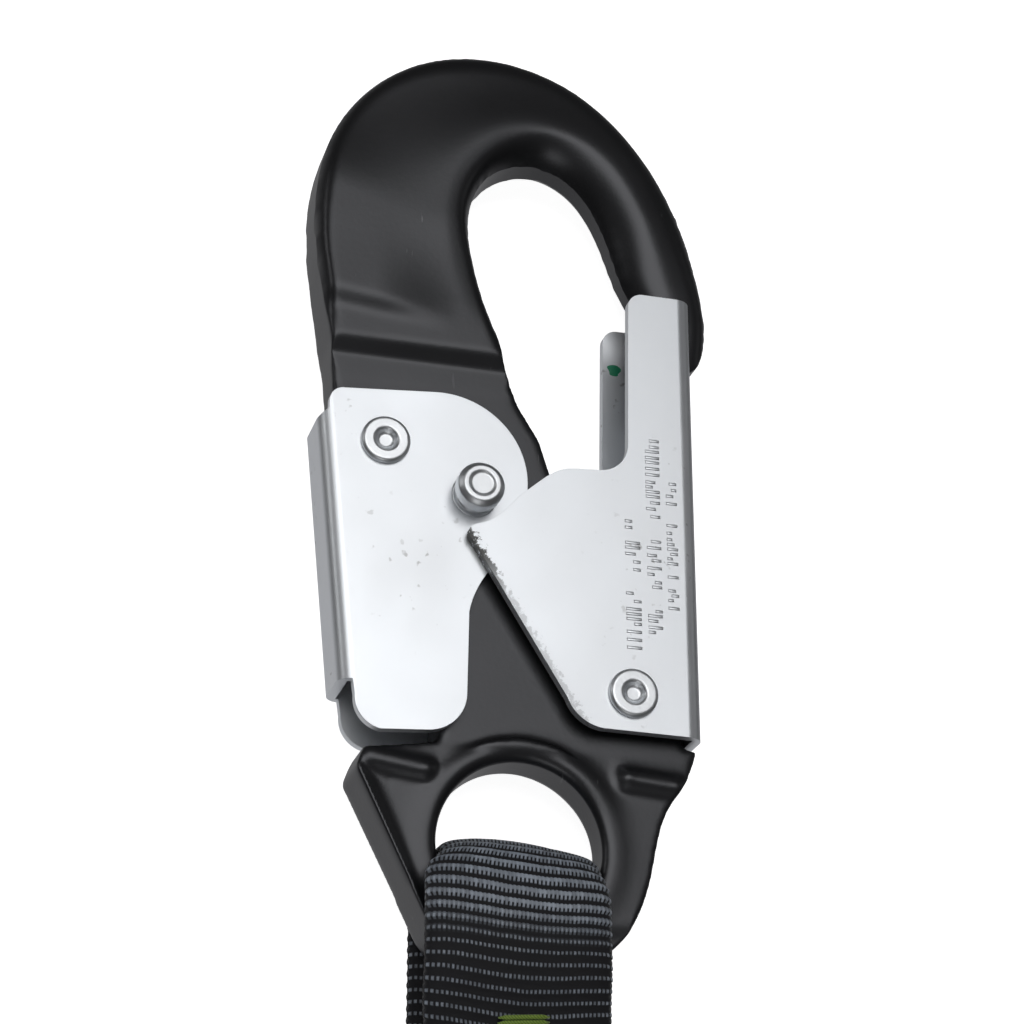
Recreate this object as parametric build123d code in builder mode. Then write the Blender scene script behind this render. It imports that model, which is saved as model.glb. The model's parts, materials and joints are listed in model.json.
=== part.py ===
"""Shock absorbing lanyard: two forged double-locking snap hooks, an elastic
tubular web put away in a tied hank, and a tear-web energy absorber pack.

Frame: X across, +Y towards hook A's bow, +Z up from the floor it lies on.
Each hook is drawn in its own frame: origin at the eye centre on the hook's
mid-plane, local +Y towards the bow. Lengths are in millimetres."""
from build123d import *
import math
import os

os.makedirs("parts", exist_ok=True)

# ---- driving dimensions -------------------------------------------------
EYE_Y = 305.0              # distance of each eye centre from the middle
STUD_HALF = 9.6            # lock stud, from mid-plane to its outer end
PLATE_HALF = 3.6           # forged plate between the sheet-metal ears
FORGING_HALF = 5.0         # thick upper forging
NOSE_HALF = 4.6            # nose, between the gate ears
RING_HALF = 4.8            # raised rim and ribs round the eye
EYE_R = 11.4
RIM_R = 14.4

GATE_PIVOT = (14.8, 21.3)
LEVER_PIVOT = (-19.7, 55.2)
STUD_AT = (-7.0, 48.6)
LEVER_SWING = 16.0

LEVER_IN, LEVER_OUT = 3.75, 5.1      # half gaps of the lever channel
GATE_IN, GATE_OUT = 5.3, 6.7         # half gaps of the gate channel
GATE_SPINE_X = 25.0
GATE_SHEET = 1.4
LEVER_SHEET = 1.4

RIVET_R = 2.0
BUSH_IN_R = 2.06
BUSH_OUT_R = 2.75
BUSH_SEAT_R = 2.77
RIVET_HEAD_R = 3.45
RIVET_HEAD_H = 1.0
STUD_R = 3.2
STUD_NECK_R = 2.5
STUD_HEAD_R = 3.3
STUD_SLOT_R = 3.55

SPRING_WIRE_R = 0.5
SPRING_COIL_R = 3.5
SPRING_TURNS = 4
POCKET_HALF = 2.1
POCKET_R = 4.6

WEB_WIDTH = 25.4
LOOP_THICK = 4.4           # tubular web pressed flat where it is sewn
STRAP_THICK = 7.0          # the same web, gathered and puffy when relaxed
LOOP_LEG = STUD_HALF - LOOP_THICK / 2
LAYER_STEP = LOOP_THICK + 0.2
SEW_END = -84.0
MARKER_W = 7.0
MARKER_THICK = 0.5

HANK_Y = (193.0, -25.0)
HANK_LIFT = 1.8            # the tie passes under the hank
RUN_PITCH = 10.0
RUNS = 3
TIE_Y = 90.0
TIE_WIDTH = 25.0

PACK_Y = (-85.0, -235.0)
PACK_NECK = 12.0
PACK_W, PACK_H = 46.0, 29.0
PACK_WALL = 1.3
PACK_ROUND = 5.0
NECK_W = 33.0
NECK_Z = (1.5, 13.5)
TEAR_LAYERS = 9
TEAR_PITCH = 2.6
TEAR_THICK = 2.0
TEAR_W = 39.0

HOOKS = {
    "a": Plane(origin=(0, EYE_Y, STUD_HALF), x_dir=(1, 0, 0), z_dir=(0, 0, 1)),
    "b": Plane(origin=(0, -EYE_Y, STUD_HALF), x_dir=(-1, 0, 0), z_dir=(0, 0, 1)),
}


def save(part, label):
    """Label a finished piece and write it under its own name."""
    part.label = label
    export_step(part, f"parts/{label}.step")


def at_point(frame, point, height=0.0):
    """The hook frame moved to a point of its own XY plane."""
    origin = frame.from_local_coords((point[0], point[1], height))
    return Plane(origin=origin, x_dir=frame.x_dir, z_dir=frame.z_dir)


def side_plane(frame, x=0.0):
    """Plane across the hook: local x runs along the hook, local y is up."""
    origin = frame.from_local_coords((x, 0, 0))
    return Plane(origin=origin, x_dir=frame.y_dir, z_dir=frame.x_dir)


# ---- hook body ----------------------------------------------------------
BOW_OUTER = [(-27.4, 70.0), (-29.4, 81.5), (-30.2, 91.0), (-28.6, 102.0), (-23.0, 112.3),
             (-13.5, 119.4), (-3.0, 121.2), (8.0, 118.3), (17.4, 110.4), (23.2, 101.2),
             (27.2, 89.5), (28.5, 80.5), (27.0, 74.0)]
THROAT_WALL = [(18.4, 82.6), (16.0, 89.4), (13.0, 97.0), (8.6, 102.6), (2.0, 104.4),
               (-4.2, 101.2), (-7.6, 93.6), (-7.0, 86.4), (-4.6, 78.0), (-2.6, 70.0)]


def body_outline():
    """Outer outline of the forging, eye and throat included."""
    bow = Spline(*BOW_OUTER)
    nose = ThreePointArc(BOW_OUTER[-1], (23.4, 71.9), (19.0, 74.6))
    Line(nose @ 1, THROAT_WALL[0])
    throat = Spline(*THROAT_WALL)
    shoulder = Polyline(throat @ 1, (-0.2, 63.9), (2.9, 58.9), (4.4, 54.0), (8.6, 46.0),
                        (14.2, 36.5), (20.2, 28.4), (22.9, 23.5), (22.9, 15.4), (25.0, 15.2))
    right = Spline(shoulder @ 1, (23.4, 11.0), (20.4, 6.0), (18.3, -2.0), (15.2, -10.0), (8.6, -15.8),
                   (0.0, -18.0))
    left = ThreePointArc(right @ 1, (-6.6, -16.7), (-12.2, -12.2))
    Polyline(left @ 1, (-22.6, 8.6), (-21.4, 11.8), (-11.2, 13.4), (-11.2, 19.2), (-16.0, 30.5),
             (-24.2, 48.5), (-26.4, 58.0), bow @ 0)


def rib_shapes():
    """Raised ribs of the eye section: the left edge, and the two lugs."""
    Polygon((-23.0, 9.5), (-11.6, -13.0), (-8.6, -11.0), (-18.6, 8.0), align=None)
    Polygon((-23.0, 8.2), (-22.0, 11.7), (-11.2, 10.6), (-11.2, 7.6), align=None)
    Polygon((13.4, 12.2), (24.0, 11.4), (23.0, 8.0), (13.8, 8.4), align=None)


def upper_forging(frame):
    """Thick bow and nose, above a step that slopes down to the plate."""
    with BuildPart() as upper:
        with BuildSketch(frame.offset(-FORGING_HALF)):
            with BuildLine():
                body_outline()
            make_face()
        extrude(amount=2 * FORGING_HALF)
        with BuildSketch(side_plane(frame, -40)):
            with BuildLine():
                Polyline((66.4, -PLATE_HALF), (69.0, -FORGING_HALF), (69.0, -8), (130, -8), (130, 8),
                         (69.0, 8), (69.0, FORGING_HALF), (66.4, PLATE_HALF), close=True)
            make_face()
        extrude(amount=80, mode=Mode.INTERSECT)
    return upper.part


def spring_pocket(frame, pivot, corner_a, corner_b):
    """Room round a pivot for its spring, open towards the channel's spine."""
    with BuildPart() as pocket:
        with BuildSketch(at_point(frame, pivot, -POCKET_HALF)):
            Circle(POCKET_R)
        extrude(amount=2 * POCKET_HALF)
        with BuildSketch(frame.offset(-POCKET_HALF)):
            Polygon(corner_a, (corner_b[0], corner_a[1]), corner_b, (corner_a[0], corner_b[1]), align=None)
        extrude(amount=2 * POCKET_HALF)
    return pocket.part


def stud_arc():
    """Path of the stud's centre about the lever rivet, as an arc."""
    dx, dy = STUD_AT[0] - LEVER_PIVOT[0], STUD_AT[1] - LEVER_PIVOT[1]
    start = math.degrees(math.atan2(dy, dx))
    return CenterArc(LEVER_PIVOT, math.hypot(dx, dy), start, LEVER_SWING)


def hook_body(frame):
    with BuildPart() as body:
        with BuildSketch(frame.offset(-PLATE_HALF)):
            with BuildLine():
                body_outline()
            make_face()
            with Locations((0, 24.0)):
                Rectangle(90, 88, mode=Mode.INTERSECT)
        extrude(amount=2 * PLATE_HALF)
        add(upper_forging(frame))
        with BuildSketch(frame.offset(-RING_HALF)):
            Circle(RIM_R)
            rib_shapes()
            with Locations((0, -11.0)):
                Rectangle(30, 16)
            with BuildLine():
                body_outline()
            make_face(mode=Mode.INTERSECT)
        extrude(amount=2 * RING_HALF)
        # the eye, the two pivots, the stud's slot
        with BuildSketch(frame.offset(-8)):
            Circle(EYE_R)
            with Locations(GATE_PIVOT, LEVER_PIVOT):
                Circle(BUSH_SEAT_R)
            with BuildLine():
                arc = stud_arc()
            SlotArc(arc, 2 * STUD_SLOT_R)
        extrude(amount=16, mode=Mode.SUBTRACT)
        add(spring_pocket(frame, GATE_PIVOT, (GATE_PIVOT[0], 19.2), (27.0, 33.0)), mode=Mode.SUBTRACT)
        add(spring_pocket(frame, LEVER_PIVOT, (-30.0, 42.5), (LEVER_PIVOT[0], 57.2)), mode=Mode.SUBTRACT)
        # the nose is thinner, to pass between the gate's ears
        for low in (NOSE_HALF, -8.0):
            with BuildSketch(frame.offset(low)):
                with Locations((22.5, 81.0)):
                    Rectangle(17, 20)
            extrude(amount=8.0 - NOSE_HALF, mode=Mode.SUBTRACT)
    return body.part


# ---- gate and lock lever ------------------------------------------------
def gate_outline():
    """Side outline of the gate: column, shoulder, notch, tip and foot."""
    column = Polyline((GATE_SPINE_X, 15.9), (GATE_SPINE_X, 82.4), (17.4, 82.4))
    crown = ThreePointArc(column @ 1, (15.9, 81.8), (15.2, 80.2))
    edge = Line(crown @ 1, (14.8, 58.4))
    fillet_arc = ThreePointArc(edge @ 1, (13.5, 55.2), (10.2, 53.9))
    shoulder = Line(fillet_arc @ 1, (7.0, 53.7))
    notch = Spline(shoulder @ 1, (4.4, 53.0), (1.6, 50.9), (-1.2, 48.3), (-3.4, 45.9), (-7.2, 43.7))
    tip = ThreePointArc(notch @ 1, (-8.1, 42.7), (-7.5, 41.2))
    diagonal = Line(tip @ 1, (5.6, 20.0))
    foot = ThreePointArc(diagonal @ 1, (7.6, 17.3), (10.6, 16.1))
    Line(foot @ 1, column @ 0)


def gate(frame):
    """Sheet-metal channel, open towards the lever, slotted for the nose."""
    with BuildPart() as shell:
        with BuildSketch(frame.offset(-GATE_OUT)):
            with BuildLine():
                gate_outline()
            make_face()
        extrude(amount=2 * GATE_OUT)
        spine = shell.edges().filter_by(Axis.Y).group_by(SortBy.LENGTH)[-1]
        fillet(spine, 2.4)
        with BuildSketch(frame.offset(-GATE_IN)):
            with Locations(((GATE_SPINE_X - GATE_SHEET - 20), 50)):
                Rectangle(40, 100)
        extrude(amount=2 * GATE_IN, mode=Mode.SUBTRACT)
        with BuildSketch(frame.offset(-(NOSE_HALF + 0.35))):
            with Locations((GATE_SPINE_X, 69.8 + 15)):
                RectangleRounded(8, 30, 1.2)
        extrude(amount=2 * (NOSE_HALF + 0.35), mode=Mode.SUBTRACT)
        with BuildSketch(at_point(frame, GATE_PIVOT, -8)):
            Circle(RIVET_R + 0.01)
        extrude(amount=16, mode=Mode.SUBTRACT)
    return shell.part


SPINE_TOP, SPINE_FOOT = (-29.0, 58.2), (-25.2, 20.2)
SPINE_END = 20.4                       # the spine stops short of the ears' feet


def lever_outline():
    """Side outline of the lock lever, ears and spine together."""
    spine = Line(SPINE_FOOT, SPINE_TOP)
    corner = Polyline(spine @ 1, (-27.6, 59.4), (-27.6, 60.6))
    top_left = ThreePointArc(corner @ 1, (-27.0, 62.0), (-25.4, 62.6))
    top = Line(top_left @ 1, (-12.6, 63.6))
    crown = ThreePointArc(top @ 1, (-2.6, 59.6), (0.6, 50.5))
    throat = Spline(crown @ 1, (-1.2, 43.2), (-5.2, 37.2), (-7.6, 31.4))
    right = Line(throat @ 1, (-7.8, 20.0))
    low_right = ThreePointArc(right @ 1, (-9.4, 15.9), (-13.2, 14.2))
    low = Line(low_right @ 1, (-20.6, 13.7))
    low_left = ThreePointArc(low @ 1, (-23.4, 15.2), (-24.5, 18.4))
    Line(low_left @ 1, spine @ 0)


def lock_lever(frame):
    """Sheet-metal channel whose spine is the grip, with the stud's holes."""
    lean = math.degrees(math.atan2(SPINE_FOOT[0] - SPINE_TOP[0], SPINE_TOP[1] - SPINE_FOOT[1]))
    middle = ((SPINE_TOP[0] + SPINE_FOOT[0]) / 2, (SPINE_TOP[1] + SPINE_FOOT[1]) / 2)
    with BuildPart() as shell:
        with BuildSketch(frame.offset(-LEVER_OUT)):
            with BuildLine():
                lever_outline()
            make_face()
        extrude(amount=2 * LEVER_OUT)
        at = frame.from_local_coords((middle[0], middle[1], 0))
        fillet(shell.edges().filter_by(GeomType.LINE).sort_by_distance(at)[:2], 2.2)
        with BuildSketch(frame.offset(-LEVER_IN)):
            with Locations(Location((middle[0], middle[1]), lean)):
                with Locations((LEVER_SHEET + 20, 0)):
                    Rectangle(40, 100)
        extrude(amount=2 * LEVER_IN, mode=Mode.SUBTRACT)
        with BuildSketch(frame.offset(-8)):
            with BuildLine():
                edge = Line((-23.4, SPINE_END), (-23.1, 18.4))
                corner = ThreePointArc(edge @ 1, (-21.9, 15.1), (-18.9, 13.7))
                Polyline(corner @ 1, (-18.9, 12.0), (-30, 12.0), (-30, SPINE_END), edge @ 0)
            make_face()
        extrude(amount=16, mode=Mode.SUBTRACT)
        with BuildSketch(frame.offset(-8)):
            with Locations(LEVER_PIVOT):
                Circle(RIVET_R + 0.01)
            with Locations(STUD_AT):
                Circle(STUD_R + 0.01)
        extrude(amount=16, mode=Mode.SUBTRACT)
    return shell.part


# ---- pins, bushes and springs -------------------------------------------
def rivet(frame, pivot, half_grip):
    """Clinched rivet: shank, two domed heads, each with a drilled dimple."""
    top = half_grip + RIVET_HEAD_H
    with BuildPart() as pin:
        with BuildSketch(at_point(frame, pivot, -top)):
            Circle(RIVET_R)
        extrude(amount=2 * top)
        for low in (half_grip, -top):
            with BuildSketch(at_point(frame, pivot, low)):
                Circle(RIVET_HEAD_R)
            extrude(amount=RIVET_HEAD_H)
        rims = pin.edges().filter_by(GeomType.CIRCLE).group_by(SortBy.RADIUS)[-1].sort_by(Axis.Z)
        fillet([rims[0], rims[-1]], 0.6)
        for side, face in ((1, top), (-1, -top)):
            drill = at_point(frame, pivot, face)
            with BuildSketch(drill if side > 0 else Plane(drill.origin, drill.x_dir, -drill.z_dir)):
                Circle(1.7)
            extrude(amount=-0.9, taper=35, mode=Mode.SUBTRACT)
    return pin.part


def lock_stud(frame):
    """Stud through both lever ears, necked where the gate's notch passes."""
    with BuildPart() as stud:
        with BuildSketch(Plane(at_point(frame, STUD_AT).origin, frame.x_dir, -frame.y_dir)):
            for side in (1, -1):
                with BuildLine():
                    Polyline((0, 0), (STUD_R, 0), (STUD_R, side * LEVER_OUT), (STUD_NECK_R, side * LEVER_OUT),
                             (STUD_NECK_R, side * 6.95), (STUD_HEAD_R, side * 6.95),
                             (STUD_HEAD_R, side * 8.9), (STUD_HEAD_R - 0.7, side * STUD_HALF),
                             (1.9, side * STUD_HALF), (1.6, side * (STUD_HALF - 0.3)),
                             (0, side * (STUD_HALF - 0.3)), close=True)
                make_face()
        revolve(axis=Axis(at_point(frame, STUD_AT).origin, frame.z_dir))
    return stud.part


def bush(frame, pivot):
    """Plain bush that carries a rivet through the forging."""
    with BuildPart() as sleeve:
        with BuildSketch(at_point(frame, pivot, -PLATE_HALF)):
            Circle(BUSH_OUT_R)
            Circle(BUSH_IN_R, mode=Mode.SUBTRACT)
        extrude(amount=2 * PLATE_HALF)
    return sleeve.part


def torsion_spring(frame, pivot, legs):
    """Close-wound coil round a bush, with two straight legs."""
    pitch = 1.9 * SPRING_WIRE_R
    centre = at_point(frame, pivot).origin
    with BuildPart() as spring:
        with BuildSketch(Plane(centre, frame.x_dir, -frame.y_dir)):
            for turn in range(SPRING_TURNS):
                with Locations((SPRING_COIL_R, (turn - (SPRING_TURNS - 1) / 2) * pitch)):
                    Circle(SPRING_WIRE_R)
        revolve(axis=Axis(centre, frame.z_dir))
        for height, (start, end) in zip((1.5 * pitch, -1.5 * pitch), legs):
            foot = frame.from_local_coords((start[0], start[1], height))
            head = frame.from_local_coords((end[0], end[1], height))
            with BuildSketch(Plane(origin=foot, z_dir=(head - foot).normalized())):
                Circle(SPRING_WIRE_R)
            extrude(amount=(head - foot).length)
    return spring.part


def hook(frame, side):
    """Every separate piece of one double-locking hook."""
    save(hook_body(frame), f"hook_body_{side}")
    save(gate(frame), f"gate_{side}")
    save(lock_lever(frame), f"lock_lever_{side}")
    save(rivet(frame, GATE_PIVOT, GATE_OUT), f"gate_rivet_{side}")
    save(rivet(frame, LEVER_PIVOT, LEVER_OUT), f"lever_rivet_{side}")
    save(lock_stud(frame), f"lock_stud_{side}")
    save(bush(frame, GATE_PIVOT), f"gate_bush_{side}")
    save(bush(frame, LEVER_PIVOT), f"lever_bush_{side}")
    gx, gy = GATE_PIVOT
    lx, ly = LEVER_PIVOT
    gate_legs = (((gx + SPRING_COIL_R, gy), (22.9, 32.0)), ((gx - 1.0, gy + SPRING_COIL_R), (19.5, 26.0)))
    lever_legs = (((lx - SPRING_COIL_R, ly), (-25.6, 44.0)), ((lx - 1.0, ly - SPRING_COIL_R), (-21.0, 45.2)))
    save(torsion_spring(frame, GATE_PIVOT, gate_legs), f"gate_spring_{side}")
    save(torsion_spring(frame, LEVER_PIVOT, lever_legs), f"lever_spring_{side}")


# ---- sewn loops ---------------------------------------------------------
def loop_path(rise):
    """Middle of the web from the sewn end, round the eye and back."""
    foot = -LOOP_LEG + rise
    turn_u = -9.6
    with BuildLine() as path:
        low = FilletPolyline((SEW_END, foot), (-46.0, foot), (-24.0, -LOOP_LEG), (turn_u, -LOOP_LEG),
                             radius=20) if rise else Line((SEW_END, foot), (turn_u, foot))
        turn = ThreePointArc(low @ 1, (turn_u + LOOP_LEG, 0), (turn_u, LOOP_LEG))
        FilletPolyline(turn @ 1, (-20.0, LOOP_LEG), (-43.0, foot + LAYER_STEP),
                       (SEW_END, foot + LAYER_STEP), radius=12)
    return path.line


def eye_loop(frame, rise):
    """Web end turned through the eye, narrowed where it fills the bore."""
    with BuildPart() as loop:
        with BuildSketch(side_plane(frame, -WEB_WIDTH / 2)):
            trace(loop_path(rise), LOOP_THICK)
        extrude(amount=WEB_WIDTH)
        with BuildSketch(frame.offset(-RING_HALF - 0.2)):
            with Locations((0, -6.5)):
                Rectangle(40, 25)
            Circle(EYE_R - 0.5, mode=Mode.SUBTRACT)
        extrude(amount=2 * (RING_HALF + 0.2), mode=Mode.SUBTRACT)
    return loop.part


def marker_stitching(frame, rise, end):
    """Contrast thread sewn along the middle of the upper layer."""
    foot = -LOOP_LEG + rise + LAYER_STEP
    lift = (LOOP_THICK + MARKER_THICK) / 2 + 0.02
    with BuildPart() as thread:
        with BuildSketch(side_plane(frame, 0.8 - MARKER_W / 2)):
            with BuildLine():
                line = Line((-46.5, foot + lift), (end, foot + lift))
            trace(line, MARKER_THICK)
        extrude(amount=MARKER_W)
    return thread.part


# ---- strap, hank and tie ------------------------------------------------
def flat_run(points, radius, thickness, width):
    """A flat strap laid along a route of (y, z) points."""
    with BuildPart() as run:
        with BuildSketch(Plane.YZ.offset(-width / 2)):
            with BuildLine() as path:
                FilletPolyline(*points, radius=radius)
            trace(path.line, thickness)
        extrude(amount=width)
    return run.part


def strap_lead():
    start = EYE_Y + SEW_END
    low, high = STRAP_THICK / 2, STRAP_THICK / 2 + HANK_LIFT
    points = [(start, low), (start - 8, low), (HANK_Y[0] + 8, high), (HANK_Y[0], high)]
    return flat_run(points, 20, STRAP_THICK, WEB_WIDTH)


def strap_tail():
    top = HANK_LIFT + STRAP_THICK / 2 + (RUNS - 1) * RUN_PITCH
    neck = sum(NECK_Z) / 2
    points = [(HANK_Y[1], top), (HANK_Y[1] - 10, top), (PACK_Y[0] + 24, neck), (PACK_Y[0] - 4, neck)]
    return flat_run(points, 14, STRAP_THICK, WEB_WIDTH)


def hank():
    """Outer shape of the folded runs of strap."""
    height = (RUNS - 1) * RUN_PITCH + STRAP_THICK
    with BuildPart() as bundle:
        with Locations((0, sum(HANK_Y) / 2, HANK_LIFT + height / 2)):
            Box(WEB_WIDTH, HANK_Y[0] - HANK_Y[1], height)
        ends = bundle.edges().filter_by(Axis.X)
        fillet(ends.group_by(Axis.Z)[-1].sort_by(Axis.Y)[-1], 5)
        fillet(bundle.edges().filter_by(Axis.X).group_by(Axis.Z)[0].sort_by(Axis.Y)[0], 5)
    return bundle.part


def hank_tie():
    """Hook-and-loop band round the hank."""
    height = (RUNS - 1) * RUN_PITCH + STRAP_THICK
    wall = HANK_LIFT - 0.2
    with BuildPart() as band:
        with Locations((0, TIE_Y, HANK_LIFT + height / 2)):
            Box(WEB_WIDTH + 0.4 + 2 * wall, TIE_WIDTH, height + 0.4 + 2 * wall)
            Box(WEB_WIDTH + 0.4, TIE_WIDTH, height + 0.4, mode=Mode.SUBTRACT)
        fillet(band.edges().filter_by(Axis.Y).group_by(SortBy.LENGTH)[-1].sort_by_distance(
            (0, TIE_Y, HANK_LIFT + height / 2))[-4:], 1.2)
    return band.part


# ---- absorber pack ------------------------------------------------------
PACK_MID = sum(PACK_Y) / 2
PACK_LEN = PACK_Y[0] - PACK_Y[1]
NECK_MID = sum(NECK_Z) / 2
NECK_H = NECK_Z[1] - NECK_Z[0]


def pack_cover():
    """Fabric cover: a soft box with a low neck at each end, all hollow."""
    full = PACK_LEN + 2 * PACK_NECK
    with BuildPart() as hollow:
        with Locations((0, PACK_MID, PACK_H / 2)):
            Box(PACK_W - 2 * PACK_WALL, PACK_LEN - 2 * PACK_WALL, PACK_H - 2 * PACK_WALL)
        fillet(hollow.edges(), PACK_ROUND - PACK_WALL)
        with Locations((0, PACK_MID, NECK_MID)):
            Box(NECK_W - 2 * PACK_WALL, full + 2, NECK_H - 2 * PACK_WALL)
    with BuildPart() as cover:
        with Locations((0, PACK_MID, PACK_H / 2)):
            Box(PACK_W, PACK_LEN, PACK_H)
        fillet(cover.edges(), PACK_ROUND)
        with Locations((0, PACK_MID, NECK_MID)):
            Box(NECK_W, full, NECK_H)
        add(hollow.part, mode=Mode.SUBTRACT)
    return cover.part


def end_band(y):
    """Rubber band round one neck of the cover."""
    wall = NECK_Z[0] - 0.1
    with BuildPart() as band:
        with Locations((0, y, NECK_MID)):
            Box(NECK_W + 0.2 + 2 * wall, 7, NECK_H + 0.2 + 2 * wall)
            Box(NECK_W + 0.2, 7, NECK_H + 0.2, mode=Mode.SUBTRACT)
    return band.part


def tear_webbing():
    """Tear-ply web folded to and fro, a tail out of each end."""
    half_len = PACK_LEN / 2 - 21
    low = PACK_H / 2 - (TEAR_LAYERS - 1) / 2 * TEAR_PITCH
    top = low + (TEAR_LAYERS - 1) * TEAR_PITCH
    start = PACK_MID + half_len
    with BuildPart() as web:
        with BuildSketch(Plane.YZ.offset(-TEAR_W / 2)):
            with BuildLine() as path:
                tail = FilletPolyline((PACK_Y[0] - 5, NECK_MID), (start + 9, NECK_MID), (start + 4, top),
                                      (start - 8, top), radius=2.5)
                here, z, way = tail @ 1, top, -1
                for layer in range(TEAR_LAYERS - 1):
                    run = Line(here, (PACK_MID + way * half_len, z))
                    way = -way
                    outer = (PACK_MID - way * (half_len + TEAR_PITCH / 2), z - TEAR_PITCH / 2)
                    z -= TEAR_PITCH
                    bend = ThreePointArc(run @ 1, outer, (PACK_MID - way * half_len, z))
                    here = bend @ 1
                Line(here, (PACK_MID - half_len - 4, z))
            trace(path.line, TEAR_THICK)
        extrude(amount=TEAR_W)
    return web.part


def inner_wrap():
    """Thin film sleeve that keeps the folds together until they load."""
    stack = (TEAR_LAYERS - 1) * TEAR_PITCH + TEAR_THICK
    with BuildPart() as film:
        with Locations((0, PACK_MID, PACK_H / 2)):
            Box(TEAR_W + 1.6, PACK_LEN - 48, stack + 1.2)
            Box(TEAR_W + 0.8, PACK_LEN - 48, stack + 0.4, mode=Mode.SUBTRACT)
    return film.part


def label_sleeve():
    """Clear pocket sewn on top of the cover."""
    with BuildPart() as pocket:
        with Locations((0, PACK_MID, PACK_H + 0.05)):
            Box(34, 78, 2.0, align=(Align.CENTER, Align.CENTER, Align.MIN))
        with Locations((0, PACK_MID + 1, PACK_H + 0.45)):
            Box(31, 78, 1.2, align=(Align.CENTER, Align.CENTER, Align.MIN), mode=Mode.SUBTRACT)
    return pocket.part


def label_booklet():
    """Blank inspection booklet in the pocket."""
    with BuildPart() as booklet:
        with Locations((0, PACK_MID + 2, PACK_H + 0.55)):
            Box(29, 72, 1.0, align=(Align.CENTER, Align.CENTER, Align.MIN))
    return booklet.part


STITCH_END = {"a": SEW_END + 2, "b": -57.0}
LOOP_RISE = {"a": 0.0, "b": NECK_MID - LAYER_STEP / 2 - LOOP_THICK / 2}

for side, frame in HOOKS.items():
    hook(frame, side)
    save(eye_loop(frame, LOOP_RISE[side]), f"eye_loop_{side}")
    save(marker_stitching(frame, LOOP_RISE[side], STITCH_END[side]), f"marker_stitching_{side}")

save(strap_lead(), "strap_lead")
save(hank(), "strap_hank")
save(strap_tail(), "strap_tail")
save(hank_tie(), "hank_tie")
save(pack_cover(), "pack_cover")
save(end_band(PACK_Y[0] + PACK_NECK / 2), "end_band_a")
save(end_band(PACK_Y[1] - PACK_NECK / 2), "end_band_b")
save(tear_webbing(), "tear_webbing")
save(inner_wrap(), "inner_wrap")
save(label_sleeve(), "label_sleeve")
save(label_booklet(), "label_booklet")
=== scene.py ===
"""Looks of the shock absorbing lanyard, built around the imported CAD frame.

Lengths are in metres. Each hook has its own frame, with its origin at the eye
centre on the hook's mid-plane and local +Y towards the bow, as in the CAD."""
import math
import random

import bmesh
import bpy
import numpy as np
from mathutils import Matrix, Vector
from mathutils.kdtree import KDTree
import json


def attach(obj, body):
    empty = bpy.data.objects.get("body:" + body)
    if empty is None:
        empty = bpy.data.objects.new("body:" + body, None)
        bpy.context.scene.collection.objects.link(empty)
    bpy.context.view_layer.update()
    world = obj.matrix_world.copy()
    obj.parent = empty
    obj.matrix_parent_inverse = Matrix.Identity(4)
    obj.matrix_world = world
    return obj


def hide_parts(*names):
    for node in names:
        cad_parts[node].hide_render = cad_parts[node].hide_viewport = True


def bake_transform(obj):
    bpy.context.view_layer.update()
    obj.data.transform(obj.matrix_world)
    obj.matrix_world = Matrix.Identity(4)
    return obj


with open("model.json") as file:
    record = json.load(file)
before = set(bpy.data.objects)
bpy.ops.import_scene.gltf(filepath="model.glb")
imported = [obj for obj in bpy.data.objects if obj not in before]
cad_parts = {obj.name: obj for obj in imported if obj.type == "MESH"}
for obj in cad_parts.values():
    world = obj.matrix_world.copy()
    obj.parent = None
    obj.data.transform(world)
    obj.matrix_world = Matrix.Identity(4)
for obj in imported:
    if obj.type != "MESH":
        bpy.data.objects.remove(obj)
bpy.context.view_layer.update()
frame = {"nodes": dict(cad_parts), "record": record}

MM = 0.001

# ---- the CAD's own dimensions, in millimetres of the hook frame ----------
EYE_Y = 305.0
STUD_HALF = 9.6                      # from the mid-plane to a stud's end
EYE_R = 11.4
GATE_IN, GATE_OUT = 5.3, 6.7         # from the mid-plane to the gate's two faces
LOOP_THICK = 4.4                     # one flattened layer of the sewn web
LOOP_LEG = STUD_HALF - LOOP_THICK / 2
LAYER_STEP = 4.6                     # from one layer of a sewn loop to the next
WEB_WIDTH = 25.4
SEW_END = -84.0                      # where a loop's layers end
NECK_MID = 7.5                       # height of the absorber pack's necks
HOOK_FRAMES = {
    "a": Matrix.Translation((0, EYE_Y * MM, STUD_HALF * MM)),
    "b": Matrix.Translation((0, -EYE_Y * MM, STUD_HALF * MM)) @ Matrix.Rotation(math.pi, 4, "Z"),
}
# how far each loop's sewn end is lifted, so that loop b meets the pack's neck
RISE = {"a": 0.0, "b": NECK_MID - LAYER_STEP / 2 - LOOP_THICK / 2}
# the gate's and the lever's pivots on the hook's mid-plane
PIVOTS = {"gate": (14.8, 21.3), "lever": (-19.7, 55.2)}


# ---- stage ---------------------------------------------------------------
SENSOR = 36.0
LENS = 92.4609375
CAMERA_DISTANCE = 0.363


def add_camera():
    """Camera over the hook, to its left and towards the eye end."""
    target = HOOK_FRAMES["a"] @ Vector((-1.23 * MM, 47.4 * MM, 3.6 * MM))
    back = Vector((-0.285, -0.45, 1.0)).normalized()
    up = (Vector((0, 1, 0)) - back * back.y).normalized()
    right = up.cross(back)
    camera = bpy.data.objects.new("camera", bpy.data.cameras.new("camera"))
    bpy.context.collection.objects.link(camera)
    camera.matrix_world = Matrix.Translation(target + back * CAMERA_DISTANCE) @ Matrix(
        (right, up, back)).transposed().to_4x4()
    camera.data.sensor_width = SENSOR
    camera.data.lens = LENS
    camera.data.clip_start = 0.01
    bpy.context.scene.camera = camera


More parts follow.
